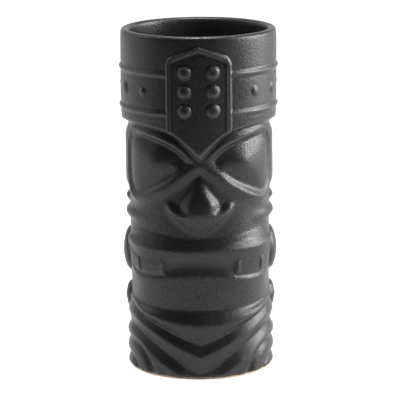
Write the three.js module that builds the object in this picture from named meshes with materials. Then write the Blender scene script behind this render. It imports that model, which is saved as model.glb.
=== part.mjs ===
// A tiki mug: a tall ceramic cup whose outside is moulded as a stylised face under a
// studded headband. It is two separate bodies of material: a slip-cast stoneware cup,
// and the black satin glaze that covers it inside and out, down to the bare foot.
// Millimetres, +Z up, the foot stands on z = 0, the face looks along -Y.
import * as THREE from 'three';

// ---------------------------------------------------------------- driving dimensions
const HEIGHT = 165;            // foot to lip
const WALL_R = 37.3;           // outer radius of the plain band below the lip
const FACE_R = 33.5;           // outer radius of the sunk ground that the face stands on
const LIP_R_IN = 33.0;         // radius of the mouth of the cup
const CUP_R = 29.6;            // inner radius of the cup behind the face
const GLAZE_T = 0.35;          // thickness of the glaze
const FIT_GAP = 0.3;           // clearance between the glaze and the clay
const GLAZE_END_Z = 0.9;       // the glaze stops here, the foot below it is bare
const FOOT_R_OUT = 33.9;       // flat ring that the mug stands on
const FOOT_R_IN = 28.6;
const FOOT_RECESS = 1.5;       // depth of the hollow inside the foot ring
const FLOOR_Z = 6.2;           // top of the glazed floor inside
const BEAD_Z = [128.7, 147.2]; // the two raised beads of the headband
const BEAD_H = [0.8, 0.95];
const STUD_Z = [130.6, 139.7, 148.6];   // rows of studs on the centre plate
const STUD_A = 10;             // their angle from the centre line, degrees
const STUD_R = 3.15, STUD_H = 1.4;
const DOT_Z = 138.2;           // row of domes on the headband
const DOT_A = [45, 69, 99];
const PLATE_R = 38.75;         // rim of the centre plate
const ARC = 0.61;              // millimetres of arc in one degree, on the face

// ---------------------------------------------------------------- guide lines
// Each line runs over the surface as [degrees from the front centre, height].
const HEAD = [[0,107.2],[3,109.1],[5,110.4],[10,113.7],[15,116.7],[20,119],[25,120.2],[30,120.9],[40,121.8],[50,122.3],[60,122.5],[70,122.4],[80,122.1],[90,121.6],[180,121.6]];
const SOCKET = [[13,106.2],[16,108.2],[20,110.3],[25,111.8],[30,112.9],[35,113.7],[40,114.4],[50,115.4],[60,115.8],[66,114.5],[69.5,111],[70.5,105],[70,98],[68,93],[64,90.3],[60,89.6],[55,90],[50,91],[45,92.4],[40,94],[35,95.7],[30,97.6],[25,99.6],[20,101.8],[16,103.9]];
const EYE_PEAK = [35, 105];
const RIM_CREST = [[0,104.9],[5,107.4],[10,110.4],[15,113.1],[20,115],[30,116.8],[40,117.7],[50,118.3],[60,118.4],[68,117],[73,112.5],[75,105],[74,97],[71,90.5],[65,87.5],[60,87],[50,88.3],[40,90.5],[30,93.6],[20,98.3],[12,102.2],[8,103.4],[0,104.9]];
// chevrons of the beard and the side carving: valleys (V) and crests (C), from the top down
const V0 = [[0,33.3],[50,33.6],[60,34.3],[70,35],[77,35.8]];
const C1 = [[0,26.7],[10,26.8],[20,27.4],[30,28.4],[40,29.8],[50,31],[60,32.4],[70,34],[77,34.9]];
const V1 = [[0,16.3],[10,18.6],[20,21],[30,23.6],[40,26],[50,28.3],[60,30.6],[70,33],[77,34]];
const C2 = [[0,11],[10,13.5],[20,16.2],[30,19.1],[40,21.7],[50,24],[60,26],[70,27.6],[77,28.2]];
const V2 = [[0,2.3],[10,5.2],[20,9.2],[30,12.8],[40,16],[50,18.8],[60,21],[70,22.3],[77,22.8]];
const C3 = [[0,-4],[10,-0.5],[20,3],[30,6.4],[40,10.2],[50,14.2],[60,17.2],[70,18.6],[77,19]];
const V3 = [[0,-30],[36,-6],[39.5,0],[42,3.5],[45,7],[50,10.5],[55,12.8],[60,14],[70,14.6],[77,14.8]];
const V4 = [[0,-38],[54,-6],[58,0],[61,2.7],[65,5],[70,6.4],[77,6.9]];
// mouth: top of the upper lip, its lower edge, both ends of the teeth, top of the lower lip
const LIP_TOP = [[0,67.8],[10,67.9],[20,68.4],[30,69.3],[40,70],[50,70.3],[60,70],[70,68.6],[78,66.8],[84,65]];
const LIP_EDGE = [[0,62.4],[55,62.5],[65,62.9],[72,63.4],[78,64.1],[84,64.8]];
const TEETH_TOP = [[0,58.9],[10,58.6],[20,58.1],[30,57.6],[40,57.2],[50,57],[58,57.2],[62,58.3],[70,60.3],[78,62.5],[84,64.6]];
const TEETH_END = [[0,53.2],[10,53],[20,52.2],[26,51.4],[30,50.8],[40,50.3],[50,50.1],[58,50.2],[64,51],[70,52.6],[75,55.5],[79,59.4],[84,64.4]];
const LOWER_LIP = [[0,51.8],[10,51.6],[20,50.9],[30,50],[40,49.2],[50,48.7],[58,48.6],[65,49.3],[70,50.6],[75,53.4],[79,57.6],[84,64.2]];
const TOOTH_GAPS = [[0,1.6,0.35],[30,1.7,0.8],[55,2,1.1],[73.5,2,0.9]];   // angle, half width, depth
const PLATE_OUT = [[-40,90],[-40,161],[0,160.8],[20,156],[22.6,154.8],[24.4,152.2],[24.4,90]];
const PLATE_TOP_OUT = [[0,160.8],[20,156],[22.6,154.8],[24.8,152.6]];
const PLATE_TOP_IN = [[0,158.3],[17.3,154.3],[24.8,152.4]];
const PLATE_IN = [[-40,90],[-40,158.5],[0,158.3],[17.3,154.3],[19,153.2],[19.4,151.5],[19.4,90]];

// ---------------------------------------------------------------- small helpers
function at(x, pts) {
  if (x <= pts[0][0]) return pts[0][1];
  for (let i = 1; i < pts.length; i++) {
    if (x <= pts[i][0]) {
      const [x0, y0] = pts[i - 1], [x1, y1] = pts[i];
      return y0 + (y1 - y0) * (x - x0) / (x1 - x0);
    }
  }
  return pts[pts.length - 1][1];
}
const clamp01 = (t) => Math.min(1, Math.max(0, t));
function ramp(a, b, x) { const t = clamp01((x - a) / (b - a)); return t * t * (3 - 2 * t); }
function hump(t) { t = Math.min(1, Math.abs(t)); return 0.5 + 0.5 * Math.cos(Math.PI * t); }
function lineDistance(s, z, pts, closed = false) {
  let best = Infinity;
  const n = pts.length;
  for (let i = 0; i < (closed ? n : n - 1); i++) {
    const ax = pts[i][0] * ARC, az = pts[i][1];
    const bx = pts[(i + 1) % n][0] * ARC, bz = pts[(i + 1) % n][1];
    const dx = bx - ax, dz = bz - az;
    const t = clamp01(((s - ax) * dx + (z - az) * dz) / (dx * dx + dz * dz));
    best = Math.min(best, Math.hypot(s - ax - t * dx, z - az - t * dz));
  }
  return best;
}
function within(s, z, pts) {
  let c = false;
  for (let i = 0, j = pts.length - 1; i < pts.length; j = i++) {
    const ax = pts[i][0] * ARC, az = pts[i][1], bx = pts[j][0] * ARC, bz = pts[j][1];
    if ((az > z) !== (bz > z) && s < (bx - ax) * (z - az) / (bz - az) + ax) c = !c;
  }
  return c;
}

// ---------------------------------------------------------------- the moulded outside
// The chevrons run round the side and repeat at the back, stretched to the back centre.
const fold = (a) => (a <= 77 ? a : 77 * (180 - a) / 103);
const beltRadius = (z) => at(z, [[-60,34.2],[0,34.3],[1.5,35.2],[4,36],[7,36.15],[10,35.9],[14,35.6],[20,35.3],[30,35.1],[36,35]]);

function lowerFace(a, z) {
  const f = fold(a);
  const side = ramp(40, 80, a);
  const mouth = 1 - ramp(78, 84, a);
  const lip = 1 - 0.55 * ramp(50, 78, a) - 0.45 * ramp(78, 88, a);
  const depth = 1 - 0.45 * ramp(50, 85, f);
  const c1 = 1 - 0.8 * ramp(45, 75, f);
  const k = [[-60, 34.2]];
  const crest = (line, extra = 0) => { const h = at(f, line); k.push([h, beltRadius(h) + extra]); };
  const valley = (line, drop) => { const h = at(f, line); k.push([h, beltRadius(h) - drop * depth]); };
  k.push([2, beltRadius(2)]);
  crest(C3); valley(V2, 1.6);
  crest(C2, 0.4 * (1 - side)); valley(V1, 1.7);
  k.push([at(f, C1), 33.5 + 2.3 * c1], [at(f, V0), 33.35 + 0.25 * (1 - side)]);
  const ll = at(a, LOWER_LIP), te = at(a, TEETH_END), tt = at(a, TEETH_TOP), le = at(a, LIP_EDGE), lt = at(a, LIP_TOP);
  k.push([ll - 4, FACE_R + 0.9 * (1 - side)], [ll - 1, FACE_R + 1.2 * (1 - side) + 0.5 * side * mouth]);
  k.push([ll, FACE_R + (0.6 - 0.1 * side) * mouth], [ll + 0.5, FACE_R + 0.2 * mouth]);
  k.push([te - 0.2, FACE_R + 0.4 * mouth], [te + 0.7, FACE_R + 1.25 * mouth], [tt, FACE_R + 1.3 * mouth]);
  k.push([le, FACE_R + 2.75 * lip], [le + 0.8, FACE_R + 2.85 * lip]);
  const sl = ramp(12, 42, a);
  k.push([lt - 1.1 - 1.2 * sl, FACE_R + (0.8 + 0.4 * sl) * lip], [lt - 0.3, FACE_R + (0.7 + 0.3 * sl) * lip], [lt + 0.8, FACE_R + 0.1], [120, FACE_R]);
  if (k[2][0] < 2.5) k.splice(1, 1);
  for (let i = 1; i < k.length; i++) k[i][0] = Math.max(k[i][0], k[i - 1][0] + 1e-4);
  let r = at(z, k);
  for (const [line, drop] of [[V3, 1.3], [V4, 1.1]]) {   // side arcs below the chevrons
    const g = lineDistance(f * ARC, z, line) / (z < at(f, line) ? 3.2 : 1.8);
    r -= drop * depth * clamp01(1 - g) * ramp(30, 38, f);
  }
  r = Math.min(r, at(z, [[-1,34],[0,34.2],[0.6,34.7],[1.5,35.3],[3,36],[5,37],[200,60]]));
  const onTeeth = ramp(0, 0.8, z - te) * ramp(0, 0.8, tt + 0.3 - z) * mouth;
  for (const [c, w, h] of TOOTH_GAPS) r -= h * hump((a - c) / w) * onTeeth;
  r += 0.25 * onTeeth * ramp(31, 33, a);
  r += 2.1 * ramp(46, 84, a) * hump((z - 76.7) / 3.9);     // ribs that run back from the cheek
  r += 2.0 * ramp(76, 88, a) * hump((z - 83.4) / 3.3);
  return r;
}

function eyeBall(s, z) {
  const px = s - EYE_PEAK[0] * ARC, pz = z - EYE_PEAK[1];
  let g = 0;
  for (let i = 0; i < SOCKET.length; i++) {
    const p = SOCKET[i], q = SOCKET[(i + 1) % SOCKET.length];
    const x1 = (p[0] - EYE_PEAK[0]) * ARC, y1 = p[1] - EYE_PEAK[1];
    const x2 = (q[0] - EYE_PEAK[0]) * ARC, y2 = q[1] - EYE_PEAK[1];
    const det = x1 * y2 - x2 * y1;
    const u = (px * y2 - pz * x2) / det, v = (-px * y1 + pz * x1) / det;
    if (u >= -1e-9 && v >= -1e-9) g = u + v;
  }
  const q = clamp01(1 - g);
  const outer = ramp(42, 64, s / ARC);
  return 33.5 + 0.3 * outer + 0.7 * outer * ramp(0, 0.1, q) + (2.9 - 0.5 * outer) * Math.pow(q, 0.95);
}

function noseHeight(a, z) {
  const front = at(z, [[84,9.6],[100,1.6]]), foot = at(z, [[82,15],[100,4.5]]);
  const h = at(z, [[80.5,4.95],[82,4.95],[90,3.7],[96,2.4],[101,0.6],[103,0]]);
  let bridge = h * (a <= front ? 1 : clamp01(1 - 0.8 * (a - front) / (foot - front))) * (1 - ramp(0, 1.6, a - foot));
  const zc = at(a, [[0,81],[5,80.7],[12,80.3],[18,81.5],[22,83.2],[26,84.2]]);
  const zl = at(a, [[0,71.5],[5,71.9],[10,73.2],[15,75.2],[20,78],[24,81],[27,83.6]]);
  const w = at(a, [[0,4.9],[9,4.9],[12,4.2],[18,3.2],[22,2.6],[25,1.7],[27.5,0]]);
  const wing = z <= zc ? w * Math.pow(clamp01((z - zl) / Math.max(zc - zl, 0.3)), 0.85)
    : w * Math.pow(clamp01(1 - (z - zc) / 4.5), 1.2);
  if (z < zc) bridge = 0;
  return Math.max(bridge, wing);
}

function headBand(a, s, z, d) {
  let h = WALL_R + BEAD_H[1] * hump((z - BEAD_Z[1]) / 2.3) + BEAD_H[0] * hump((z - BEAD_Z[0]) / 2.2);
  h -= 0.25 * (1 - ramp(122.5, 127, z));
  DOT_A.forEach((c, i) => {
    const rr = i % 2 ? 3.0 : 2.0, hh = i % 2 ? 0.85 : 0.8;
    h += hh * Math.pow(clamp01(1 - (Math.hypot((a - c) * 0.65, z - DOT_Z) / rr) ** 2), 0.7);
  });
  const dO = lineDistance(s, z, PLATE_OUT) * (within(s, z, PLATE_OUT) ? 1 : -1);
  const dI = lineDistance(s, z, PLATE_IN) * (within(s, z, PLATE_IN) ? 1 : -1);
  let p = PLATE_R - 0.75 * ramp(0, 0.9, dI);
  for (const zs of STUD_Z) p += STUD_H * Math.pow(clamp01(1 - (Math.hypot((a - STUD_A) * 0.66, z - zs) / STUD_R) ** 2), 0.6);
  p -= 1.4 * (1 - ramp(0, 1, d / (3.4 * (1 - ramp(0, 14, a)) + 0.6)));
  return h + ramp(-0.2, 1.2, dO) * (p - h);
}

function outerRadius(aSigned, z) {
  const a = Math.abs(aSigned), s = a * ARC;
  let r = lowerFace(a, z);
  if (z > 80 && z < 125) {           // rolled rim round each eye, crossing over the nose
    const rim = 1.95 * hump(lineDistance(s, z, RIM_CREST) / 5.2);
    const temple = 1.85 * hump(Math.max(z - 113.5, 93.5 - z, 0) / 8) * ramp(70, 76, a);
    r = Math.max(r, FACE_R + Math.max(rim, temple));
  }
  const out = lineDistance(s, z, SOCKET, true);
  if (within(s, z, SOCKET)) r = eyeBall(s, z);
  else if (out < 3 && z > 84 && z < 121) r = Math.min(r, 33.6 + 1.9 * clamp01(out / 3));
  if (a < 30 && z > 70 && z < 104) {
    const n = noseHeight(a, z);
    if (n > 0) r = Math.max(r, FACE_R + n);
  }
  // ear: a raised loop with a hollow, and a round plug in its lobe
  const v = (z - 56.3) / 11.3;
  let el = Math.hypot((a - 100) * 0.64 / (a < 100 ? 11 : 9.5), v);
  if (el < 1) r = Math.max(r, FACE_R + 4 * Math.sqrt(1 - el * el) - 2.2 * ramp(0.52, 0.34, Math.hypot((a - 106) * 0.64 / 9, v * 0.95)));
  el = Math.hypot((a - 99) * 0.64, z - 33) / 7.1;
  if (el < 1) r = Math.max(r, FACE_R + 3.1 * Math.sqrt(1 - el * el));
  // hair: a raised panel over the back of the head
  const m = ramp(127, 138, a) * ramp(43, 47, z) * (1 - ramp(0, 3, z - 116.5));
  if (m > 0) r = Math.max(r, FACE_R + 1.4 * m);
  // headband over the forehead, with a two-stage step down to the face
  const zh = at(a, HEAD);
  const slope = (at(a + 1, HEAD) - at(Math.abs(a - 1), HEAD)) / (2 * ARC);
  const d = (z - zh) / Math.sqrt(1 + slope * slope);
  if (d > -1.7) {
    const w = at(d, [[-1.7,0],[-0.8,0.42],[-0.4,0.47],[0.15,0.93],[0.9,1]]);
    r += w * (headBand(a, s, z, d) - r);
  }
  return r;
}

// ---------------------------------------------------------------- grid over the outside
const HALF = [0, 5, 10, 15, 19.2, 20.8, 23, 24.8, 29, 33, 37, 41.5, 45, 48.5, 54, 60, 65, 69, 73, 78, 84, 91, 99, 107, 115, 126, 139, 153, 166, 180];
const ANGLES = [...HALF.slice(1, -1).reverse().map((a) => -a), ...HALF];   // -166 .. 180
const COLS = ANGLES.length;

// The rows follow the carved lines, so that each edge is a line of the mesh.
const EAR_ROWS = [34, 39.5, 44.5, 48, 51.5, 55, 58.5, 62, 65.5, 68.2];
const MID_ROWS = [
  [[0,71.6],[10,73.1],[15,75.2],[20,78],[25,81],[29,80.5],[40,75],[60,73.5],[75,73],[180,73]],       // under the nose; under the first rib
  [[0,80.5],[12,80.2],[18,81.4],[22,82.9],[26,84.1],[30,83],[40,79.5],[60,77.5],[75,76.7],[180,76.7]], // crest of the nostrils; first rib
  [[0,82.6],[12,83],[18,84.5],[26,87],[30,87],[40,83.5],[60,80.5],[75,80],[180,80]],
  [[0,90],[10,89],[15,89.5],[20,92.5],[30,90.3],[40,86.8],[50,84.5],[60,83.4],[75,83.5],[180,83.5]],  // outside of the eye rim; second rib
  [[0,99.5],[8,99.8],[12,100.6],[20,98.1],[30,93.7],[40,90.4],[50,87.9],[60,86.6],[68,87],[75,87.2],[180,88]],  // crest of the rim
  [[0,103.2],[10,103.4],[13.5,104.5],[16,103.6],[20,101.8],[25,99.6],[30,97.6],[40,94],[50,91],[60,89.8],[66,91.6],[70,96],[75,95],[180,96]],  // edge of the eye
  [[0,103.9],[10,104],[13.5,105],[20,105.4],[35,105],[60,103.5],[70,104],[180,104]],                  // through the peak of the eye
  [[0,104.5],[10,105],[13.5,105.9],[17,108.8],[20,110.2],[25,111.7],[30,112.8],[40,114.4],[50,115.4],[60,115.8],[66,114.8],[70,110.5],[75,111],[180,112]],  // upper edge of the eye
  [[0,105],[5,107.4],[10,110.4],[15,113.1],[20,115],[30,116.8],[40,117.9],[60,118.8],[68,118],[75,116.8],[180,118]],  // crest of the brow
];
const BAND_ROWS = [126.8, BEAD_Z[0], 130.7, 134.4, DOT_Z, 142, 145.2, BEAD_Z[1], 149.2, 152, 154.5, 157, 159.6];
const STUD_ROWS = [127.5, STUD_Z[0], 133.8, 136.6, STUD_Z[1], 142.8, 145.5, STUD_Z[2], 151.7];

function rowHeights(a) {
  const f = fold(a);
  const ll = at(a, LOWER_LIP), te = at(a, TEETH_END), tt = at(a, TEETH_TOP), le = at(a, LIP_EDGE), lt = at(a, LIP_TOP);
  const zh = at(a, HEAD), v2 = at(f, V2), v3 = at(f, V3), v4 = at(f, V4), sl = ramp(12, 42, a);
  const z = [GLAZE_END_Z, Math.max(v4, 1.2), Math.max((v3 + v4) / 2 + 1, 1.5), Math.max(v3, 1.8), Math.max((v2 + v3) / 2, 2.1)];
  z.push(Math.max(v2, 2.4), at(f, C2), at(f, V1), at(f, C1), at(f, V0));
  const mouth = [ll - 6, ll - 1, ll + 0.4, te + 0.7, tt, le, le + 1, lt - 1.1 - 1.2 * sl, lt - 0.3, lt + 0.8];
  // beyond the corner of the mouth its lines meet, so the rows spread out over the ear
  const w = ramp(74, 88, a);
  mouth.forEach((h, i) => z.push(h + w * (EAR_ROWS[i] - h)));
  for (const line of MID_ROWS) z.push(at(a, line));
  z.push(zh - 1.7, zh + 0.7);
  const plate = a < 25 ? [...STUD_ROWS, at(a, PLATE_TOP_IN) - 0.3, at(a, PLATE_TOP_IN) + 0.9, at(a, PLATE_TOP_OUT) - 0.8, at(a, PLATE_TOP_OUT) + 0.3] : BAND_ROWS;
  z.push(...plate);
  for (let i = 1; i < z.length; i++) z[i] = Math.max(z[i], z[i - 1] + 0.22);
  const cap = zh - 1.7;                    // nothing below the headband is pushed past its edge
  for (let i = BAND_START - 1, h = cap; i > 0; i--, h -= 0.22) z[i] = Math.min(z[i], h);
  z[BAND_START] = zh + 0.7;
  return z;
}
const BAND_START = 30;
const rows = ANGLES.map((a) => rowHeights(Math.abs(a)));
const radii = ANGLES.map((a, j) => rows[j].map((z) => outerRadius(a, z)));
const RN = rows[0].length;

function ring(fn) {
  return ANGLES.map((deg, j) => {
    const [r, z] = fn(j, deg);
    const t = THREE.MathUtils.degToRad(deg);
    return [r * Math.sin(t), -r * Math.cos(t), z];
  });
}
const outerRing = (i, inset) => ring((j) => [radii[j][i] - inset, rows[j][i]]);
const round = (r, z) => ring(() => [r, z]);

// A closed body from rings of points: it starts and ends in a point on the axis.
// From ring `turn` on the rings run the other way, so the diagonals are mirrored there
// and stay parallel to the ones on the first side.
function loft(startZ, rings, endZ, turn = Infinity) {
  const pos = [0, 0, startZ];
  for (const rg of rings) for (const p of rg) pos.push(...p);
  pos.push(0, 0, endZ);
  const idx = [], last = 1 + rings.length * COLS;
  const v = (i, j) => 1 + i * COLS + (j % COLS);
  for (let j = 0; j < COLS; j++) {
    idx.push(0, v(0, j), v(0, j + 1));
    for (let i = 0; i < rings.length - 1; i++) {
      const a = v(i, j), b = v(i + 1, j), c = v(i + 1, j + 1), d = v(i, j + 1);
      if ((ANGLES[j] >= 0) === (i < turn)) idx.push(a, b, c, a, c, d);
      else idx.push(a, b, d, b, c, d);
    }
    idx.push(v(rings.length - 1, j), last, v(rings.length - 1, j + 1));
  }
  const g = new THREE.BufferGeometry();
  g.setAttribute('position', new THREE.Float32BufferAttribute(pos, 3));
  g.setIndex(idx);
  g.computeVertexNormals();
  return g;
}

// Inside of the cup and the rounded lip, as [radius, height] from the floor up and over.
// `o` is the depth below the glazed surface.
function inside(o) {
  return [
    round(21, FLOOR_Z - o),
    round(27 + o * 0.7, FLOOR_Z + 1.6 - o * 0.75),
    round(CUP_R + 0.1 + o, FLOOR_Z + 6.5),
    round(CUP_R + 0.2 + o, 106),
    round(LIP_R_IN - 0.6 + o, 126),
    round(LIP_R_IN + o, 158),
    round(LIP_R_IN + 0.12 + o * 0.96, HEIGHT - 1.9 - o * 0.25),
    round(LIP_R_IN + 0.75 + o * 0.6, HEIGHT - 0.55 - o * 0.8),
    round(LIP_R_IN + 2.1, HEIGHT - o),
    round(WALL_R - 0.75 - o * 0.6, HEIGHT - 0.6 - o * 0.8),
    round(WALL_R - 0.15 - o * 0.96, HEIGHT - 2.0 - o * 0.25),
  ];
}

// ---------------------------------------------------------------- glaze
const front = inside(0), back = inside(GLAZE_T);
const glazeRings = [...front];
for (let i = RN - 1; i >= 0; i--) glazeRings.push(outerRing(i, 0));
for (let i = 0; i < RN; i++) glazeRings.push(outerRing(i, GLAZE_T));
for (let i = back.length - 1; i >= 0; i--) glazeRings.push(back[i]);
const glaze = new THREE.Mesh(
  loft(FLOOR_Z, glazeRings, FLOOR_Z - GLAZE_T, front.length + RN),
  new THREE.MeshStandardMaterial({ color: 0x1d1c1e, roughness: 0.45, metalness: 0 }),
);
glaze.name = 'glaze_coat';

// ---------------------------------------------------------------- clay
const SKIN = GLAZE_T + FIT_GAP;
const clayRings = [...inside(SKIN)];
for (let i = RN - 1; i >= 0; i--) clayRings.push(outerRing(i, SKIN));
clayRings.push(
  round(FOOT_R_OUT, 0),
  round(FOOT_R_IN, 0),
  round(FOOT_R_IN - 0.9, FOOT_RECESS),
);
const clay = new THREE.Mesh(
  loft(FLOOR_Z - SKIN, clayRings, FOOT_RECESS),
  new THREE.MeshStandardMaterial({ color: 0xb89a78, roughness: 0.85, metalness: 0 }),
);
clay.name = 'stoneware_body';

const mug = new THREE.Group();
mug.add(clay, glaze);
export default mug;
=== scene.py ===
"""Looks for the tiki mug: the moulded relief at full detail, its black satin glaze and the bare stoneware foot."""
import math

import bpy
import numpy as np
from mathutils import Matrix

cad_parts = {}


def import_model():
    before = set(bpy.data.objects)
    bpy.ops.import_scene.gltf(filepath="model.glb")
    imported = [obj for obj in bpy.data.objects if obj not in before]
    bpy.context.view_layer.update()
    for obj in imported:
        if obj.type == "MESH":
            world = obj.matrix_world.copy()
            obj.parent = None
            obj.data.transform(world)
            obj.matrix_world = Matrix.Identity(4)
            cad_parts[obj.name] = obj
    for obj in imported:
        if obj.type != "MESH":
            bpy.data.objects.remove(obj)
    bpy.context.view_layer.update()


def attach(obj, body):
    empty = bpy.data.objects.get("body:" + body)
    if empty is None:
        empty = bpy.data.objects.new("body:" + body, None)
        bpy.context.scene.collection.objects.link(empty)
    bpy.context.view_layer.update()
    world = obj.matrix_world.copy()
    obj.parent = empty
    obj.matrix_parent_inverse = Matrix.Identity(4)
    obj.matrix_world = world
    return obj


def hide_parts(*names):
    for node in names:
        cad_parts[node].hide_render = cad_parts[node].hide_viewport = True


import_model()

# ------------------------------------------------------------------ sizes, millimetres
HEIGHT = 165.0
WALL_R = 37.3          # plain band below the lip
FACE_R = 33.5          # sunk ground that the face stands on
LIP_R_IN = 32.95
CUP_R = 29.6
GLAZE_T = 0.35
GLAZE_END_Z = 0.9
FLOOR_Z = 6.2
FOOT_R_OUT, FOOT_R_IN, FOOT_RECESS = 33.9, 28.6, 1.5
ARC = 0.61             # millimetres of arc in one degree, on the face


# ------------------------------------------------------------------ the relief
# Lines run over the surface as (degrees from the front centre, height in mm).
HEAD = [(0,107.2),(3,109.1),(5,110.4),(10,113.7),(15,116.7),(20,119.0),(25,120.2),(30,120.9),(40,121.8),(50,122.3),(60,122.5),(70,122.4),(80,122.1),(90,121.6),(180,121.6)]
SOCK = [(12.5,105.6),(14,107.2),(17,108.8),(20,110.2),(25,111.7),(30,112.8),(35,113.7),(40,114.4),(50,115.4),(60,115.8),(66,114.8),(69.5,111.5),(70.5,105),(70,98),(68,93.4),(64,90.6),(60,89.8),(55,90.1),(50,91),(45,92.1),(40,93.4),(35,94.9),(30,96.7),(25,98.8),(20,101.0),(16,102.9),(13.5,104.5)]
APEX = (35.0, 105.0)
CREST = [(0,104.9),(5,107.1),(10,109.6),(15,111.9),(20,113.7),(30,115.8),(40,117.2),(50,118.2),(60,118.6),(68,117.4),(73,112.5),(75,105),(74.3,97),(71,90.3),(65,87.2),(60,86.6),(50,87.6),(40,89.7),(30,92.4),(20,96.1),(14,98.9),(9,101.1),(5,102.9),(0,104.9)]
V2 = [(0,1.9),(10,5.2),(20,9.2),(30,12.8),(40,16),(50,18.8),(60,21),(70,22.3),(77,22.8)]
V1 = [(0,16.3),(10,18.6),(20,21.0),(30,23.6),(40,26),(50,28.3),(60,30.6),(70,33),(77,34.0)]
V0 = [(0,33.3),(50,33.6),(60,34.3),(70,35),(77,35.8)]
C1 = [(0,26.7),(10,26.8),(20,27.4),(30,28.4),(40,29.8),(50,31),(60,32.4),(70,34),(77,34.9)]
C2 = [(0,11.0),(10,13.5),(20,16.2),(30,19.1),(40,21.7),(50,24),(60,26),(70,27.6),(77,28.2)]
C3 = [(0,-4),(10,-0.5),(20,3.0),(30,6.4),(40,10.2),(50,14.2),(60,17.2),(70,18.6),(77,19)]
V3 = [(0,-30),(30,-8),(36,-3),(39.5,0),(42,3.2),(45,6.6),(50,10.2),(55,12.5),(60,13.8),(70,14.5),(77,14.7)]
C4 = [(0,-34),(36,-9),(41,-3),(45,1.5),(50,6.0),(55,8.8),(60,10.4),(70,11.4),(77,11.7)]
V4 = [(0,-38),(48,-9),(54,-4),(58,0),(61,2.7),(65,5.0),(70,6.4),(77,6.9)]
C5 = [(0,-42),(56,-9),(62,-3),(66,1.0),(70,3.2),(77,4.0)]
UPF = [(0,67.0),(10,67.1),(20,67.7),(30,68.7),(40,69.6),(50,70.3),(60,70.2),(70,69.5),(78,68.2),(84,66.8)]
LOE = [(0,62.4),(55,62.5),(60,62.8),(66,63.5),(72,64.4),(78,65.4),(84,66.0)]
TTP = [(0,58.9),(10,58.6),(20,58.1),(30,57.6),(40,57.2),(50,57.0),(58,57.2),(62,58.3),(70,60.3),(78,62.5),(84,64.6)]
TBT = [(0,53.4),(10,53.2),(20,52.4),(26,51.6),(30,50.8),(40,50.3),(50,50.1),(58,50.2),(64,51),(70,52.6),(75,55.5),(79,59.4),(84,64.4)]
LLP = [(0,51.8),(10,51.6),(20,50.9),(30,50),(40,49.2),(50,48.7),(58,48.6),(65,49.3),(70,50.6),(75,53.4),(79,57.6),(84,64.2)]
PLO = [(-24.0,90),(-24.0,152.2),(-22.2,154.8),(-20,156.0),(0,160.8),(20,156.0),(22.2,154.8),(24.0,152.2),(24.0,90)]
PLI = [(-19.3,90),(-19.3,151.3),(-18.9,153.0),(-17.3,154.1),(0,158.4),(17.3,154.1),(18.9,153.0),(19.3,151.3),(19.3,90)]
ENV = [(-60,34.2),(0,34.3),(1.5,35.2),(4,36.0),(7,36.15),(10,35.9),(14,35.6),(20,35.3),(30,35.1),(36,35.0)]
STUD_Z = (148.6, 139.7, 130.6)
DOTS = ((45, 1.9, 0.85), (69, 3.0, 0.85), (99, 1.9, 0.85), (126, 3.0, 0.85), (153, 1.9, 0.85), (180, 3.0, 0.85))


def I(x, pts):
    p = np.array(pts, float)
    return np.interp(x, p[:, 0], p[:, 1])


def ss(a, b, x):
    t = np.clip((x - a) / (b - a), 0, 1)
    return t * t * (3 - 2 * t)


def cosb(t):
    t = np.clip(np.abs(t), 0, 1)
    return 0.5 + 0.5 * np.cos(np.pi * t)


def seg_dist(s, z, pts, closed=False):
    P = np.array(pts, float)
    P[:, 0] *= ARC
    n = len(P)
    best = np.full(s.shape, 1e9)
    for i in range(n if closed else n - 1):
        ax, az = P[i]
        bx, bz = P[(i + 1) % n]
        dx, dz = bx - ax, bz - az
        t = np.clip(((s - ax) * dx + (z - az) * dz) / (dx * dx + dz * dz), 0, 1)
        best = np.minimum(best, (s - ax - t * dx) ** 2 + (z - az - t * dz) ** 2)
    return np.sqrt(best)


def inside(s, z, pts):
    P = np.array(pts, float)
    P[:, 0] *= ARC
    c = np.zeros(s.shape, bool)
    n = len(P)
    for i in range(n):
        ax, az = P[i]
        bx, bz = P[(i + 1) % n]
        if az != bz:
            c ^= ((az > z) != (bz > z)) & (s < (bx - ax) * (z - az) / (bz - az) + ax)
    return c


def signed(s, z, pts, closed=False):
    d = seg_dist(s, z, pts, closed)
    return np.where(inside(s, z, pts), d, -d)


def smax(a, b, k):
    h = np.clip(0.5 + 0.5 * (a - b) / k, 0, 1)
    return b + (a - b) * h + k * h * (1 - h)


def fold(a):
    """the chevrons run round the side and repeat at the back"""
    return np.where(a <= 77, a, 77 * (180 - a) / 103.0)


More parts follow.
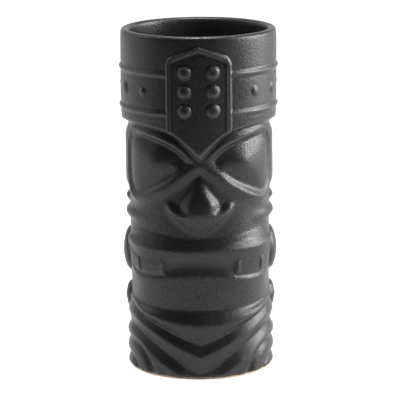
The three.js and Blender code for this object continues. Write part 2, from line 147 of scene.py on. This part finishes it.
def lower_face(a, z):
    f = fold(a)
    side = ss(40, 80, a)
    mouth = 1 - ss(78, 84, a)
    lip = 1 - 0.12 * ss(50, 70, a) - 0.88 * ss(74, 85, a)
    mid = 1 - ss(28.5, 31, a)
    dv = 1 - 0.35 * ss(50, 85, f)
    K = []

    def k(zz, rr):
        K.append((np.broadcast_to(zz, a.shape) + 0.0, np.broadcast_to(rr, a.shape) + 0.0))

    def env(zz):
        return I(zz, ENV)

    z3, z2v, z2, z1v, z1, z0v = [I(f, L) for L in (C3, V2, C2, V1, C1, V0)]
    k(-60, 34.2)
    k(np.minimum(z3 - 6, 2.0), env(np.minimum(z3 - 6, 2.0)))
    k(z3, env(z3) + 0.1)
    k(z2v, env(z2v) - (1.85 + 0.9 * ss(34, 8, f)) * dv)
    k(z2 - 0.6, env(z2) + 0.35 * (1 - side))
    k(z2 + 0.4, env(z2) + 0.30 * (1 - side))
    k(z1v, env(z1v) - 1.75 * dv)
    c1f = 1 - 0.72 * ss(45, 75, f)
    k(z1 - 1.0, 33.5 + 2.35 * c1f)
    k(z1 + 0.8, 33.5 + 2.25 * c1f)
    k(z0v, 33.35 + 0.15 * (1 - side))
    zll = I(a, LLP)
    k(zll - 6.0, RB + 0.85 * (1 - side))
    k(zll - 1.2, RB + 1.25 * (1 - side) + 0.5 * side * mouth)
    k(zll - 0.2, RB + (0.8 - 0.1 * side + 0.3 * mid) * mouth)
    k(zll + 0.5, RB + (0.1 + 0.8 * mid) * mouth)
    ztb = I(a, TBT)
    k(ztb - 0.15, RB + (0.15 + 0.55 * mid) * mouth)
    k(ztb + 0.45 + 1.4 * mid, RB + (1.05 - 0.65 * mid) * mouth)
    ztt = I(a, TTP)
    k(ztt - 0.15, RB + (1.5 - 0.75 * mid) * mouth)
    k(ztt + 0.2, RB + (1.75 - 0.1 * mid) * mouth)
    zle = I(a, LOE)
    k(zle, RB + 2.75 * lip)
    k(zle + 0.7, RB + 2.9 * lip)
    zuf = I(a, UPF)
    sl = ss(12, 42, a)
    k(zuf - 2.0 - 0.6 * sl, RB + (0.95 - 0.1 * sl) * lip)
    k(zuf - 1.15, RB + (0.70 - 0.15 * sl) * lip)
    k(zuf - 0.35, RB + (0.92 - 0.40 * sl) * lip)
    k(zuf + 0.35, RB + 0.05)
    k(zuf + 1.4, RB)
    k(120, RB)
    zk = np.stack([q[0] for q in K])
    rk = np.stack([q[1] for q in K])
    zk = np.maximum.accumulate(zk, axis=0) + np.arange(len(K)).reshape((-1,) + (1,) * a.ndim) * 1e-4
    r = np.full(a.shape, 34.2)
    for i in range(len(K) - 1):
        za, zb = zk[i], zk[i + 1]
        r = np.where((z >= za) & (z < zb), rk[i] + (rk[i + 1] - rk[i]) * (z - za) / np.maximum(zb - za, 1e-6), r)
    r = np.where(z >= zk[-1], rk[-1], r)
    # teeth
    tz = ss(-0.2, 0.6, z - ztb) * ss(-0.2, 0.5, ztt - z) * mouth
    for c, w, h in ((0, 1.4, -.25), (31.0, 1.4, -1.2), (56, 1.6, -.9), (54.2, 1.4, .5), (73.5, 2.0, 1.2)):
        r = r - h * cosb((a - c) / w) * tz
    r = r + (0.35 * ss(30, 31.5, a) + 0.25 * ss(55, 58, a)) * tz

    # the carving runs out into a plain rounded edge above the foot
    w = ss(0.1, 1.4, z)
    plain = I(z, [(-1, 34.0), (0, 34.1), (0.9, 34.45), (1.8, 34.95), (3.0, 35.3), (4, 35.4)])
    sf = f * ARC
    for line, wid, dep in ((V3, 3.6, 1.8), (V4, 3.2, 1.6)):
        dd = seg_dist(sf, z, line)
        under = z < I(f, line)
        g = np.where(under, np.clip(1 - dd / wid, 0, 1) ** 1.25, np.clip(1 - dd / 1.7, 0, 1) ** 1.1)
        r = r - dep * dv * g * ss(30, 38, f)
    r = plain * (1 - w) + r * w
    # ribs that run back from the cheek
    r = r + 2.1 * ss(44, 86, a) * cosb((z - 76.6) / 4.0)
    r = r + 2.0 * ss(84, 90, a) * cosb((z - 83.6) / 3.5)
    return r


def eyes(a, s, z, r):
    # rolled rim, crossing over the top of the nose
    dc = seg_dist(s, z, CREST)
    low_in = ss(112, 100, z) * (1 - ss(45, 62, a))
    rim = (1.95 + 0.25 * low_in) * cosb(dc / 5.4) ** 0.9
    temple = 1.85 * cosb(np.maximum(np.maximum(z - 113.5, 93.5 - z), 0) / 8.0) * ss(70, 76, a) * (1 - ss(100, 114, a))
    m = ss(80, 82, z) * (1 - ss(123, 125, z))
    r = r + m * (smax(r, RB + np.maximum(rim, temple), 0.5) - r)
    # eyeball: a low cone over the outline of the socket, bulged
    ins = inside(s, z, SOCK)
    P = np.array(SOCK, float)
    P[:, 0] *= ARC
    ax, az = APEX[0] * ARC, APEX[1]
    px, pz = s - ax, z - az
    g = np.zeros(a.shape)
    for i in range(len(P)):
        x1, y1 = P[i] - (ax, az)
        x2, y2 = P[(i + 1) % len(P)] - (ax, az)
        det = x1 * y2 - x2 * y1
        u = (px * y2 - pz * x2) / det
        v = (-px * y1 + pz * x1) / det
        g = np.where((u >= -1e-9) & (v >= -1e-9), u + v, g)
    q = blur(np.clip(1 - g, 0, 1), 1.5)
    q = np.clip((q - 0.08) / 0.92, 0, 1)
    dout = seg_dist(s, z, SOCK, True)
    outer = ss(42, 64, a)
    bot = 33.35 + 0.60 * outer + 1.3 * ss(27, 13, a) * ss(106, 103, z)
    ball = bot + (0.15 + 0.75 * outer) * ss(0, 1.6, dout) + (3.1 - 0.6 * outer) * q ** 0.95
    wall = bot + (35.6 - 0.1 * outer - bot) * np.clip((dout - 0.3) / (2.5 + outer), 0, 1) ** 1.1
    r = np.where(~ins & (dout < 2.8 + outer) & (z > 84) & (z < 121), np.minimum(r, wall), r)
    return np.where(ins, ball, r)


def nose_height(a, z):
    fz = I(z, [(80, 7.0), (82, 8.2), (84.5, 9.2), (86, 8.8), (89.5, 5.6), (92.5, 3.4), (96, 1.6), (99, 1.0)])
    gz = I(z, [(80, 13.5), (82, 15.0), (84.5, 16.4), (86, 15.8), (89.5, 11.4), (92.5, 8.4), (96, 5.0), (99, 3.4)])
    hz = I(z, [(79, 4.9), (82, 4.8), (86, 4.2), (90, 3.1), (94, 1.8), (97.5, 0.7), (100.5, 0)])
    br = hz * np.where(a <= fz, 1 - 0.06 * (a / fz) ** 2, np.clip(0.94 * (1 - (a - fz) / (gz - fz)), 0, 1))
    zc = I(a, [(0, 80.6), (5, 80.4), (12, 80.2), (18, 80.9), (22, 82.0), (26, 83.4)])
    zl = I(a, [(0, 71.2), (5, 71.6), (10, 72.9), (15, 75.0), (20, 77.7), (24, 80.3), (28, 83.4)])
    hw = I(a, [(0, 4.9), (8, 4.8), (12, 4.3), (16, 3.7), (20, 3.4), (24, 3.2), (26.5, 2.4), (28.5, 0)])
    wing = np.where(z <= zc, hw * np.clip((z - zl) / np.maximum(zc - zl, 0.3), 0, 1) ** 0.8,
                    hw * np.clip(1 - (z - zc) / 3.2, 0, 1) ** 1.2)
    br = np.where(z < zc, 0, br)
    n = np.where(z <= zc, wing, smax(br, wing, 0.6))
    return np.where((a < 31) & (z > 68) & (z < 105), n, 0)


def head_band(a, s, z, d):
    dO, dI = signed(s, z, PLO), signed(s, z, PLI)
    out = 1 - ss(-0.3, 0.4, dO)
    h = RW + out * (0.9 * cosb((z - 147.2) / 2.1) ** 2.2 + 0.75 * cosb((z - 128.7) / 2.1) ** 2.2)
    # hairline that sets each bead off from the wall
    for zb in (147.2, 128.7):
        h = h - 0.12 * out * (cosb((z - zb - 2.2) / 0.5) + cosb((z - zb + 2.2) / 0.5))
    h = h - 0.25 * (1 - ss(122.5, 127, z))
    for c, rr, hh in DOTS:
        dd = np.hypot((a - c) * 0.65, z - 138.2) / rr
        h = h + hh * np.sqrt(np.clip(1 - dd ** 2, 0, 1))
    top = ss(150, 153, z)
    p = RW + 1.45 * ss(0.0, 0.7, dO) - (0.55 + 0.25 * top) * ss(-0.6 - 0.5 * top, 0.3, dI)
    p = p - 0.42 * cosb((dI + 1.35) / 0.55)
    p = p - 0.35 * (1 - ss(0, 3.2, dI)) * (dI > 0) * ss(150, 156, z)
    for zc in STUD_Z:
        dd = np.hypot((a - 10.0) * 0.66, z - zc) / 3.15
        p = p + 1.7 * np.clip(1 - dd ** 2.7, 0, 1) ** 0.5 - 0.22 * cosb((dd - 1.08) / 0.14)
    # the plate is bevelled towards its pointed lower end
    bev = 1.4 * (1 - ss(0, 13, a)) + 0.9
    p = p - 0.9 * (1 - ss(0, 1, d / bev))
    return np.where(dO > 0, np.maximum(p, RW), h)


def ears_back(a, z, r):
    # ear: a loop with a hollow, and a round plug in the lobe below it
    u, v = (a - 100) * 0.64 / np.where(a < 100, 11.0, 9.5), (z - 56.3) / 11.3
    el = np.sqrt(u * u + v * v)
    ear = 4.0 * np.sqrt(np.clip(1 - el ** 2, 0, 1)) - 2.2 * ss(0.52, 0.34, np.hypot((a - 106) * 0.64 / 9.0, v * 0.95))
    r = np.where(el < 1, np.maximum(r, RB + ear), r)
    el = np.hypot((a - 99) * 0.64, z - 33.0) / 7.1
    lobe = 3.1 * np.sqrt(np.clip(1 - el ** 2, 0, 1)) - 0.5 * cosb((el - 0.5) / 0.16)
    r = np.where(el < 1, np.maximum(r, RB + lobe), r)
    # hair at the back of the head, in upright locks
    m = ss(130, 133.5, a) * ss(42, 46, z) * (1 - ss(0.0, 3.0, z - 117))
    u = ((a - 132) % 9.6) / 9.6
    lock = 2.1 * np.sqrt(np.clip(1 - (2 * u - 1) ** 2, 0, 1)) * 0.75 + 0.35
    return np.where(m > 0, np.maximum(r, RB + m * lock), r)


def blur(R, mm):
    k, n = kernel(mm / STEP_Z)
    P = np.pad(R, ((n, n), (0, 0)), mode="edge")
    R = sum(k[i] * P[i:i + R.shape[0]] for i in range(len(k)))
    k, n = kernel(mm / (STEP_A * ARC))
    P = np.pad(R, ((0, 0), (n, n)), mode="reflect")
    return sum(k[i] * P[:, i:i + R.shape[1]] for i in range(len(k)))


def kernel(sigma):
    n = int(4 * sigma) + 1
    x = np.arange(-n, n + 1)
    k = np.exp(-x * x / (2 * sigma * sigma))
    return k / k.sum(), n


def field():
    """outer radius in mm over the grid GA (degrees from the front, 0 to 180) by GZ (height)"""
    a, z = np.meshgrid(GA, GZ)
    s = a * ARC
    r = blur(lower_face(a, z), 0.30)
    e = eyes(a, s, z, r)
    m = blur(ss(109, 103, z) * ss(86, 90, z) * (1 - ss(60, 67, a)) * (a > 7), 1.0)
    r = blur(e, 0.38) * (1 - m) + blur(e, 0.95) * m
    n = blur(nose_height(a, z), 1.05)
    r = np.where(n > 0.02, smax(r, RB + n, 0.35), r)
    r = ears_back(a, z, r)
    r = blur(r, 0.16)
    zh = I(a, HEAD)
    sl = (I(a + 1, HEAD) - I(np.abs(a - 1), HEAD)) / (2 * ARC)
    d = (z - zh) / np.sqrt(1 + sl * sl)
    head = head_band(a, s, z, d)
    w = I(d * (1 + 0.75 * (1 - ss(55, 80, a))), [(-1.7, 0), (-1.0, 0.40), (-0.45, 0.46), (0.05, 0.86), (0.35, 0.97), (0.9, 1.0)])
    r = np.where(d > -1.7, r + w * (head - r), r)
    return blur(r, 0.20)


STEP_A, STEP_Z = 0.25, 0.2
GA = np.arange(0, 180 + STEP_A / 2, STEP_A)
GZ = np.arange(0, HEIGHT + STEP_Z / 2, STEP_Z)
RW, RB = WALL_R, FACE_R


# ------------------------------------------------------------------ relief on a fine grid
def eroded(R, mm):
    """Smallest radius within mm, so that what lies below never comes through."""
    n = int(math.ceil(mm / STEP_Z))
    P = np.pad(R, ((n, n), (0, 0)), mode="edge")
    R2 = np.min([P[i:i + R.shape[0]] for i in range(2 * n + 1)], axis=0)
    n = int(math.ceil(mm / (STEP_A * ARC)))
    P = np.pad(R2, ((0, 0), (n, n)), mode="reflect")
    return np.min([P[:, i:i + R.shape[1]] for i in range(2 * n + 1)], axis=0)


FINE = field()
BROAD = blur(FINE, 2.2)
RAISED = np.clip((FINE - blur(FINE, 0.55)) / 0.16 + 0.12 * (FINE - BROAD), -1, 1)   # + on edges, - in grooves


def look(G, deg, z):
    """bilinear value of a grid at signed angle deg and height z"""
    a = np.abs((np.asarray(deg) + 180) % 360 - 180)
    u = np.clip(a / STEP_A, 0, len(GA) - 1.001)
    v = np.clip(np.asarray(z) / STEP_Z, 0, len(GZ) - 1.001)
    i, j = v.astype(int), u.astype(int)
    fv, fu = v - i, u - j
    return ((G[i, j] * (1 - fu) + G[i, j + 1] * fu) * (1 - fv)
            + (G[i + 1, j] * (1 - fu) + G[i + 1, j + 1] * fu) * fv)


def drift(deg, z):
    """slow unevenness of a cast and glazed wall, under a tenth of a millimetre"""
    t = np.radians(deg)
    return (0.045 * np.sin(3 * t + 0.05 * z + 0.7) + 0.035 * np.sin(5 * t - 0.09 * z + 2.1)
            + 0.025 * np.sin(8 * t + 0.16 * z + 4.0) + 0.02 * np.sin(0.31 * z + 2 * t))


# ------------------------------------------------------------------ meshes
COARSE = 4
front = np.linspace(-92, 92, 225)
rest = np.linspace(92, 268, 105)[1:-1]
DEG = np.concatenate([front, rest])
DEG = DEG[: len(DEG) // COARSE * COARSE]
N = len(DEG)
TH = np.radians(DEG)
SX, SY = np.sin(TH), -np.cos(TH)


def lip_profile(o, count):
    """rounded lip as [radius, height], from the inside up and over, o below the glazed surface"""
    pts = []
    rin, rout = LIP_R_IN + 0.05, WALL_R - 0.12
    cr = (rout - rin) / 2
    cx = (rin + rout) / 2
    for t in np.linspace(0, math.pi, count):
        c, s = math.cos(t), math.sin(t)
        # a flattened half round, fuller on the outside
        pts.append((cx - (cr - o) * np.sign(c) * abs(c) ** 0.72, HEIGHT - 2.3 + (2.3 - o) * s ** 0.8))
    return pts


def inner_profile(o):
    """inside wall from the floor up, as [radius, height]"""
    base = [(6, 0.0), (14, 0.0), (20, 0.08), (23.5, 0.35), (26.2, 1.1), (28.0, 2.4), (29.1, 4.2), (29.6, 6.6)]
    pts = [(r + o * min(1, max(0, (r - 20) / 9)), FLOOR_Z + h - o * (1 - min(1, max(0, (r - 22) / 8)))) for r, h in base]
    for z in (20, 36, 54, 72, 90, 104, 112, 118, 124, 130, 140, 150, 158, 161):
        r = np.interp(z, [20, 104, 112, 118, 126, 132, 161], [CUP_R, CUP_R + 0.1, 30.3, 31.4, 32.9, 33.4, LIP_R_IN])
        pts.append((r + o, z))
    return pts


def mesh_from(name, verts, faces, smooth=True):
    me = bpy.data.meshes.new(name)
    me.from_pydata(verts, [], faces)
    me.update()
    if smooth:
        me.polygons.foreach_set("use_smooth", np.ones(len(me.polygons), bool))
    ob = bpy.data.objects.new(name, me)
    bpy.context.scene.collection.objects.link(ob)
    return ob


def ring_grid_faces(start, rings, n, flip=False):
    i = np.arange(rings - 1)[:, None] * n + start
    j = np.arange(n)[None, :]
    k = (j + 1) % n
    q = np.stack([i + j, i + n + j, i + n + k, i + k], -1).reshape(-1, 4)
    return (q[:, ::-1] if flip else q).tolist()


def make_glaze():
    zs_out = np.concatenate([np.linspace(GLAZE_END_Z, 122.0, 172)[:-1], np.linspace(122.0, 162.3, 70)])
    inner = inner_profile(0)
    lip = lip_profile(0, 13)
    P, A = [], []
    for r, z in inner + lip:
        d = drift(DEG, z) * 0.6
        P.append(np.stack([(r + d) * SX, (r + d) * SY, np.full(N, z)], -1))
        A.append(np.full(N, 0.0))
    blend_z = 160.0
    for z in zs_out[::-1]:
        zz = np.full(N, z)
        r = look(FINE, DEG, zz) + drift(DEG, z)
        w = np.clip((z - blend_z) / (162.7 - blend_z), 0, 1)
        r = r * (1 - w) + (WALL_R - 0.12 + drift(DEG, z) * 0.6) * w
        # the glaze ends in a thin rounded bead just above the foot
        r = r - 0.22 * np.clip(1 - (z - GLAZE_END_Z) / 0.7, 0, 1) ** 2
        P.append(np.stack([r * SX, r * SY, zz], -1))
        A.append(look(RAISED, DEG, zz))
    n_front = len(P)
    V = np.concatenate(P)
    at = np.concatenate(A)
    faces = ring_grid_faces(1, n_front, N)
    floor = np.array([[0, 0, FLOOR_Z]])
    # coarser back of the skin, against the clay
    sub = np.arange(0, N, COARSE)
    M = len(sub)
    low = eroded(FINE, 1.5) - GLAZE_T - 0.05
    Q = []
    for z in np.concatenate([[GLAZE_END_Z], np.linspace(3.0, 158.0, 62)]):
        r = look(low, DEG[sub], np.full(M, z))
        Q.append(np.stack([r * SX[sub], r * SY[sub], np.full(M, z)], -1))
    for r, z in lip_profile(GLAZE_T, 9)[::-1] + inner_profile(GLAZE_T)[::-1]:
        Q.append(np.stack([r * SX[sub], r * SY[sub], np.full(M, z)], -1))
    b0 = 1 + len(V)
    n_back = len(Q)
    VB = np.concatenate(Q)
    verts = np.concatenate([floor, V, VB, [[0, 0, FLOOR_Z - GLAZE_T]]])
    last = len(verts) - 1
    faces += ring_grid_faces(b0, n_back, M)
    for j in range(N):
        faces.append([0, 1 + j, 1 + (j + 1) % N])
    for j in range(M):
        faces.append([last, b0 + (n_back - 1) * M + (j + 1) % M, b0 + (n_back - 1) * M + j])
    # foot edge: fine ring to coarse ring
    f0 = 1 + (n_front - 1) * N
    for j in range(M):
        fine = [f0 + (j * COARSE + t) % N for t in range(COARSE + 1)]
        mid = COARSE // 2
        b, c = b0 + j, b0 + (j + 1) % M
        for t in range(COARSE):
            faces.append([fine[t], b if t < mid else c, fine[t + 1]])
        faces.append([b, c, fine[mid]])
    ob = mesh_from("glaze_coat_fired", (verts / 1000).tolist(), faces)
    att = ob.data.attributes.new("raised", "FLOAT", "POINT")
    val = np.zeros(len(verts))
    val[1:1 + len(at)] = at
    att.data.foreach_set("value", val.astype("f4"))
    return ob, low


def make_clay(low):
    M = 96
    deg = np.linspace(-180, 180, M, endpoint=False)
    sx, sy = np.sin(np.radians(deg)), -np.cos(np.radians(deg))
    skin = GLAZE_T + 0.3
    rings = []

    def add(r, z):
        r = np.broadcast_to(r, M)
        rings.append(np.stack([r * sx, r * sy, np.broadcast_to(z, M)], -1))

    for r, z in inner_profile(skin) + lip_profile(skin, 9):
        add(r, z)
    for z in np.linspace(158.0, 3.4, 60):
        add(look(low, deg, np.full(M, z)) - 0.35, z)
    # bare foot: visible band under the glaze line, rounded on to the ring it stands on
    ring0 = look(FINE, deg, np.full(M, 1.2))
    add(ring0 - 0.75, 2.2)
    add(ring0 - 0.42, 1.35)
    add(ring0 - 0.36, 0.85)
    for t in np.linspace(0.15, 1, 6) * math.pi / 2:
        add(FOOT_R_OUT + (ring0 - 0.45 - FOOT_R_OUT) * math.cos(t), 0.62 * (1 - math.sin(t)))
    add(FOOT_R_OUT - 0.4, 0.0)
    add((FOOT_R_OUT + FOOT_R_IN) / 2, 0.0)
    add(FOOT_R_IN + 0.35, 0.0)
    for t in np.linspace(0, 1, 5) * math.pi / 2:
        add(FOOT_R_IN - 1.1 * math.sin(t) * 0.9, 0.02 + FOOT_RECESS * (1 - math.cos(t)) * 0.98)
    for r in (24, 18, 12, 6):
        add(r, FOOT_RECESS + 0.12 * (1 - r / 27))
    V = np.concatenate(rings)
    verts = np.concatenate([[[0, 0, FLOOR_Z - skin]], V, [[0, 0, FOOT_RECESS + 0.12]]])
    faces = ring_grid_faces(1, len(rings), M)
    last = len(verts) - 1
    e0 = 1 + (len(rings) - 1) * M
    for j in range(M):
        faces.append([0, 1 + j, 1 + (j + 1) % M])
        faces.append([e0 + j, last, e0 + (j + 1) % M])
    return mesh_from("stoneware_clay", (verts / 1000).tolist(), faces)


glaze, LOW = make_glaze()
clay = make_clay(LOW)


# ------------------------------------------------------------------ materials
def nodes_of(name):
    m = bpy.data.materials.new(name)
    m.use_nodes = True
    nt = m.node_tree
    nt.nodes.clear()
    out = nt.nodes.new("ShaderNodeOutputMaterial")
    b = nt.nodes.new("ShaderNodeBsdfPrincipled")
    nt.links.new(b.outputs[0], out.inputs[0])
    return m, nt, b


def noise(nt, vec, scale, detail=2.0, rough=0.5):
    n = nt.nodes.new("ShaderNodeTexNoise")
    n.inputs["Scale"].default_value = scale
    n.inputs["Detail"].default_value = detail
    n.inputs["Roughness"].default_value = rough
    nt.links.new(vec, n.inputs["Vector"])
    return n.outputs["Fac"]


def remap(nt, v, a, b, c, d, smooth=False):
    n = nt.nodes.new("ShaderNodeMapRange")
    if smooth:
        n.interpolation_type = "SMOOTHSTEP"
    for i, x in zip((1, 2, 3, 4), (a, b, c, d)):
        n.inputs[i].default_value = x
    nt.links.new(v, n.inputs[0])
    return n.outputs[0]


def math_node(nt, op, a, b):
    n = nt.nodes.new("ShaderNodeMath")
    n.operation = op
    for i, x in enumerate((a, b)):
        if isinstance(x, (int, float)):
            n.inputs[i].default_value = x
        else:
            nt.links.new(x, n.inputs[i])
    return n.outputs[0]


def mix_colour(nt, fac, a, b):
    n = nt.nodes.new("ShaderNodeMix")
    n.data_type = "RGBA"
    nt.links.new(fac, n.inputs[0])
    for i, x in ((6, a), (7, b)):
        if isinstance(x, tuple):
            n.inputs[i].default_value = (*x, 1)
        else:
            nt.links.new(x, n.inputs[i])
    return n.outputs[2]


def glaze_material():
    m, nt, b = nodes_of("black_satin_glaze")
    tc = nt.nodes.new("ShaderNodeTexCoord")
    p = tc.outputs["Object"]
    grain = noise(nt, p, 1500, 1.5, 0.6)        # fine eggshell grain, about half a millimetre
    pebble = noise(nt, p, 560, 1.5, 0.5)        # orange peel, over a millimetre
    cloud = noise(nt, p, 70, 3.0, 0.55)         # uneven matting of the glaze
    speck = noise(nt, p, 1900, 0.5, 0.5)
    att = nt.nodes.new("ShaderNodeAttribute")
    att.attribute_name = "raised"
    # mask of raised edges, used below for the thin-glaze tone and a painted highlight
    edge = remap(nt, att.outputs["Fac"], 0.25, 0.9, 0, 1, True)
    pool = remap(nt, att.outputs["Fac"], -0.15, -0.7, 0, 1, True)
    # colour: near black, a little warmer and lighter along raised edges, partly for the thinner glaze there and partly
    # as a painted highlight along the edges
    col = mix_colour(nt, remap(nt, cloud, 0.3, 0.7, 0, 1), (0.0100, 0.0098, 0.0106), (0.0150, 0.0147, 0.0156))
    # painted highlight along raised edges, mixed with the lighter tone of thin glaze
    col = mix_colour(nt, math_node(nt, "MULTIPLY", edge, 0.8), col, (0.044, 0.042, 0.041))
    col = mix_colour(nt, math_node(nt, "MULTIPLY", pool, 0.5), col, (0.0075, 0.0075, 0.0085))
    nt.links.new(col, b.inputs["Base Color"])
    r = remap(nt, cloud, 0.3, 0.7, 0.32, 0.39)
    r = math_node(nt, "ADD", r, remap(nt, grain, 0.3, 0.7, -0.07, 0.07))
    r = math_node(nt, "SUBTRACT", r, math_node(nt, "MULTIPLY", pool, 0.05))
    nt.links.new(r, b.inputs["Roughness"])
    b.inputs["IOR"].default_value = 1.46
    # pinholes and crystals in the matt glaze: the shine breaks up from point to point
    nt.links.new(remap(nt, speck, 0.3, 0.7, 0.34, 0.66), b.inputs["Specular IOR Level"])
    bump = nt.nodes.new("ShaderNodeBump")
    bump.inputs["Strength"].default_value = 0.8
    bump.inputs["Distance"].default_value = 0.00020
    h = math_node(nt, "ADD", math_node(nt, "MULTIPLY", grain, 1.0), math_node(nt, "MULTIPLY", pebble, 0.15))
    nt.links.new(h, bump.inputs["Height"])
    nt.links.new(bump.outputs[0], b.inputs["Normal"])
    return m


def clay_material():
    m, nt, b = nodes_of("bare_stoneware")
    tc = nt.nodes.new("ShaderNodeTexCoord")
    p = tc.outputs["Object"]
    cloud = noise(nt, p, 60, 4.0, 0.6)
    grit = noise(nt, p, 1400, 3.0, 0.6)
    speck = noise(nt, p, 900, 0.0, 0.5)
    col = mix_colour(nt, remap(nt, cloud, 0.3, 0.7, 0, 1), (0.46, 0.32, 0.20), (0.58, 0.43, 0.29))
    col = mix_colour(nt, remap(nt, speck, 0.70, 0.76, 0, 0.8), col, (0.12, 0.075, 0.05))
    nt.links.new(col, b.inputs["Base Color"])
    nt.links.new(remap(nt, grit, 0.3, 0.7, 0.78, 0.94), b.inputs["Roughness"])
    bump = nt.nodes.new("ShaderNodeBump")
    bump.inputs["Strength"].default_value = 0.5
    bump.inputs["Distance"].default_value = 0.00012
    nt.links.new(grit, bump.inputs["Height"])
    nt.links.new(bump.outputs[0], b.inputs["Normal"])
    return m


glaze.data.materials.append(glaze_material())
clay.data.materials.append(clay_material())
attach(glaze, "root")
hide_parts("glaze_coat")
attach(clay, "root")
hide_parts("stoneware_body")


# ------------------------------------------------------------------ floor, light, camera
def floor():
    me = bpy.data.meshes.new("floor")
    s, n = 12.0, 24
    xs = np.linspace(-s, s, n + 1)
    verts = [(x, y, 0.0) for y in xs for x in xs]
    faces = [(j * (n + 1) + i, j * (n + 1) + i + 1, (j + 1) * (n + 1) + i + 1, (j + 1) * (n + 1) + i) for j in range(n) for i in range(n)]
    me.from_pydata(verts, [], faces)
    ob = bpy.data.objects.new("floor", me)
    bpy.context.scene.collection.objects.link(ob)
    m, nt, b = nodes_of("pale_floor")
    tc = nt.nodes.new("ShaderNodeTexCoord")
    c = noise(nt, tc.outputs["Object"], 3.0, 2.0, 0.5)
    nt.links.new(mix_colour(nt, c, (0.29, 0.29, 0.29), (0.31, 0.31, 0.31)), b.inputs["Base Color"])
    b.inputs["Roughness"].default_value = 0.9
    b.inputs["Specular IOR Level"].default_value = 0.1
    # a lit white sweep: brightest around and behind the mug, falling off towards the viewer
    sep = nt.nodes.new("ShaderNodeSeparateXYZ")
    nt.links.new(tc.outputs["Object"], sep.inputs[0])
    fall = remap(nt, sep.outputs["Y"], -0.37, -0.08, 0.07, 0.93, True)
    em = nt.nodes.new("ShaderNodeCombineColor")
    for i in range(3):
        nt.links.new(fall, em.inputs[i])
    nt.links.new(em.outputs[0], b.inputs["Emission Color"])
    b.inputs["Emission Strength"].default_value = 1.0
    me.materials.append(m)
    return ob


def area(name, azimuth, elevation, dist, w, h, watts, aim=(0, 0, 0.09), spread=None):
    """a soft box; azimuth 0 is in front of the face, 90 is to the viewer's right"""
    la = bpy.data.lights.new(name, "AREA")
    la.shape = "RECTANGLE"
    la.size, la.size_y = w, h
    la.energy = watts
    if spread:
        la.spread = math.radians(spread)
    ob = bpy.data.objects.new(name, la)
    a, e = math.radians(azimuth), math.radians(elevation)
    from mathutils import Vector
    d = Vector((math.sin(a) * math.cos(e), -math.cos(a) * math.cos(e), math.sin(e)))
    ob.location = Vector(aim) + d * dist
    ob.rotation_mode = "QUATERNION"
    ob.rotation_quaternion = d.to_track_quat("Z", "Y")
    bpy.context.scene.collection.objects.link(ob)
    return ob


def world():
    w = bpy.data.worlds.new("studio")
    bpy.context.scene.world = w
    w.use_nodes = True
    nt = w.node_tree
    nt.nodes.clear()
    out = nt.nodes.new("ShaderNodeOutputWorld")
    bg = nt.nodes.new("ShaderNodeBackground")
    tc = nt.nodes.new("ShaderNodeTexCoord")
    sep = nt.nodes.new("ShaderNodeSeparateXYZ")
    nt.links.new(tc.outputs["Generated"], sep.inputs[0])
    # white behind and at the sides, darker behind the camera and overhead
    back = remap(nt, sep.outputs["Y"], -0.47, -0.01, 0.0, 1.0, True)
    high = remap(nt, sep.outputs["Z"], 0.22, 0.75, 1.0, 0.10, True)
    left = remap(nt, sep.outputs["X"], -0.60, -0.25, 0.78, 1.0, True)
    v = math_node(nt, "MULTIPLY", math_node(nt, "MULTIPLY", back, high), left)
    v = math_node(nt, "ADD", math_node(nt, "MULTIPLY", v, 0.95), 0.09)
    col = nt.nodes.new("ShaderNodeCombineColor")
    for i in range(3):
        nt.links.new(v, col.inputs[i])
    nt.links.new(col.outputs[0], bg.inputs[0])
    bg.inputs[1].default_value = 1.0
    nt.links.new(bg.outputs[0], out.inputs[0])


floor()
world()
area("key_softbox", 84, 24, 1.15, 0.36, 0.80, 15.0)
area("right_rear", 101, 6, 1.3, 0.6, 0.9, 13.5)
area("upper_left", -108, 40, 1.3, 0.6, 0.6, 2.4)
area("overhead", 180, 84, 1.2, 0.5, 0.5, 2.5)
# small fill straight above the mouth, which reaches only the inside and the lip
fill = bpy.data.lights.new("mouth_fill", "AREA")
fill.shape, fill.size, fill.energy = "DISK", 0.056, 0.30
fill_ob = bpy.data.objects.new("mouth_fill", fill)
fill_ob.location = (0, 0, 0.32)
bpy.context.scene.collection.objects.link(fill_ob)

cam_d = bpy.data.cameras.new("camera")
cam = bpy.data.objects.new("camera", cam_d)
bpy.context.scene.collection.objects.link(cam)
pitch, yaw, roll = math.radians(12.163), math.radians(0.009), math.radians(-0.532)
fw = np.array([math.sin(yaw) * math.cos(pitch), math.cos(yaw) * math.cos(pitch), -math.sin(pitch)])
rt = np.cross(fw, [0, 0, 1])
rt /= np.linalg.norm(rt)
up = np.cross(rt, fw)
r2 = rt * math.cos(roll) + up * math.sin(roll)
u2 = -rt * math.sin(roll) + up * math.cos(roll)
M4 = Matrix(((r2[0], u2[0], -fw[0], 0.0), (r2[1], u2[1], -fw[1], -1.1), (r2[2], u2[2], -fw[2], 0.3175), (0, 0, 0, 1)))
cam.matrix_world = M4
cam_d.sensor_width = 36.0
cam_d.lens = 36.0 * 2322.5 / 400
cam_d.clip_start, cam_d.clip_end = 0.05, 60.0
cam_d.dof.use_dof = False
bpy.context.scene.camera = cam
bpy.context.scene.view_settings.view_transform = "Standard"
bpy.context.scene.view_settings.look = "None"
